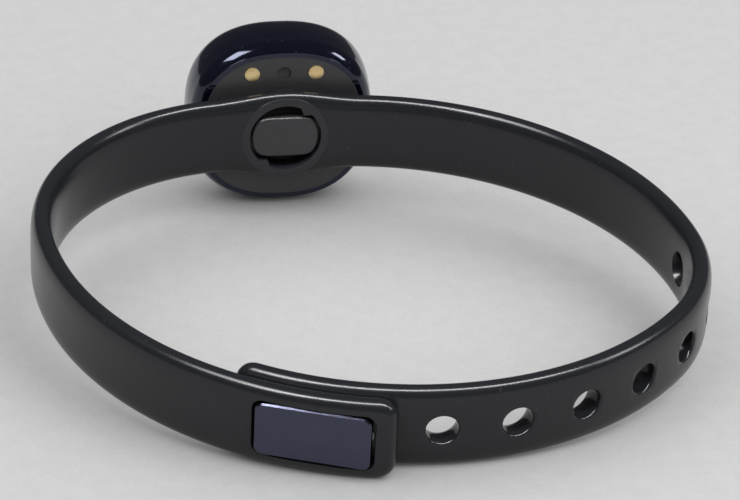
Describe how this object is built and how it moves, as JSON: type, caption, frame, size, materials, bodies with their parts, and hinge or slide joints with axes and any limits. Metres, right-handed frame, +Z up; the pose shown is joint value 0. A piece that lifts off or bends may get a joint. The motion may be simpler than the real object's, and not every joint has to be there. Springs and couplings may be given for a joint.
{
  "type": "fitness tracker band",
  "caption": "Narrow elastomer wrist strap closed by studs in a row of holes, with a glossy rounded-square tracker hung on its outside by a bayonet key.",
  "frame": {"origin": "on the table under the middle of the whole band, which stands on the lower edge of its clasp side and on the tracker", "axes": "+Z up, +Y out through the tracker, -Y towards the clasp; the strap's edges lean back by about five degrees, as the band really stands"},
  "size_m": [0.07, 0.0711, 0.0211],
  "materials": {
    "strap_elastomer": "satin",
    "insert_plastic": "matt",
    "clasp_metal": "blue-black anodised, satin",
    "steel": "bright",
    "key_plastic": "matt",
    "shell_gloss": "high gloss",
    "cover_matt": "satin",
    "contact_gold": "polished gold plating",
    "seal_rubber": "matt",
    "frame_plastic": "matt",
    "board_laminate": "green solder mask",
    "chip_epoxy": "matt",
    "ceramic": "matt",
    "battery_foil": "satin foil",
    "foam": "foam",
    "led_lens": "clear",
    "light_plastic": "frosted"
  },
  "bodies": {
    "band": {"band": "strap_elastomer", "bayonet_insert": "insert_plastic"},
    "clasp_end": {"clasp_strap_end": "strap_elastomer", "clasp_plate": "clasp_metal", "clasp_base": "steel", "clasp_studs": "steel"},
    "tracker": {"bayonet_key": "key_plastic", "key_washer": "steel", "key_screw": "steel", "top_shell": "shell_gloss", "rear_cover": "cover_matt", "cover_gasket": "seal_rubber", "charging_contacts": "contact_gold", "contact_seals": "seal_rubber", "inner_frame": "frame_plastic", "circuit_board": "board_laminate", "processor_chip": "chip_epoxy", "motion_sensor": "chip_epoxy", "memory_chip": "chip_epoxy", "clock_crystal": "steel", "chip_antenna": "ceramic", "board_parts": "ceramic", "battery": "battery_foil", "battery_pad": "foam", "spring_pins": "contact_gold", "status_led": "led_lens", "light_guide": "light_plastic"}
  },
  "joints": [
    {"name": "clasp_lift", "type": "hinge", "parent": "band", "child": "clasp_end", "pos_m": [-0.02614, -0.02209, 0.00565], "axis": [0, 0.0942, -0.9956], "range_deg": [0, 45], "stiffness_Nm_per_rad": 0.01},
    {"name": "tracker_turn", "type": "hinge", "parent": "band", "child": "tracker", "pos_m": [-0.00512, 0.02504, 0.01011], "axis": [0, 0.9956, 0.0942], "range_deg": [0, 70]}
  ]
}
